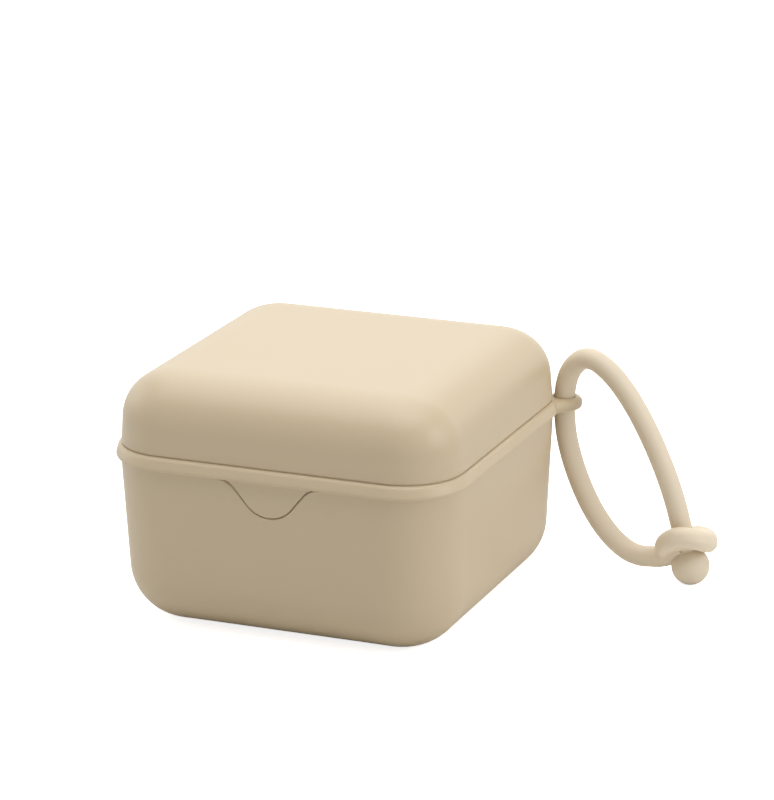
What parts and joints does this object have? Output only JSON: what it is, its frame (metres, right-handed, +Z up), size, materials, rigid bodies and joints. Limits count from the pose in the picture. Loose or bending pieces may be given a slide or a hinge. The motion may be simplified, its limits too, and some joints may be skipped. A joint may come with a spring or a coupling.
{
  "type": "pacifier sterilizer case",
  "caption": "Square rounded travel box with a clip-on hinged lid, thumb tongue, raised rim band, inner steam rack and a looped wrist strap with a ball closure.",
  "frame": {"origin": "middle of the box's flat underside, on the floor, with the strap left out", "axes": "+Z up through the lid; -Y is the front, where the thumb tongue is; +X is to the right seen from the front, the strap's side"},
  "size_m": [0.1488, 0.1112, 0.0714],
  "materials": {
    "box_plastic": "satin, smooth",
    "lid_plastic": "satin, smooth",
    "rack_plastic": "satin",
    "strap_silicone": "matte, soft",
    "ring_silicone": "matte, soft",
    "ball_silicone": "matte, soft"
  },
  "bodies": {
    "base": {"base_shell": "box_plastic"},
    "lid": {"lid_shell": "lid_plastic"},
    "rack": {"steam_rack": "rack_plastic"},
    "strap": {"strap_cord": "strap_silicone", "strap_ring": "ring_silicone", "strap_ball": "ball_silicone"}
  },
  "joints": [
    {"name": "lid_hinge", "type": "hinge", "parent": "base", "child": "lid", "pos_m": [0, 0.0546, 0.04885], "axis": [-1, 0, 0], "range_deg": [0, 110]},
    {"name": "rack_lift", "type": "slide", "parent": "base", "child": "rack", "axis": [0, 0, 1], "range_m": [0, 0.03]},
    {"name": "strap_swing", "type": "hinge", "parent": "base", "child": "strap", "pos_m": [0.0505, 0.044, 0.0485], "axis": [0, 0, 1], "range_deg": [-65, 75]}
  ]
}
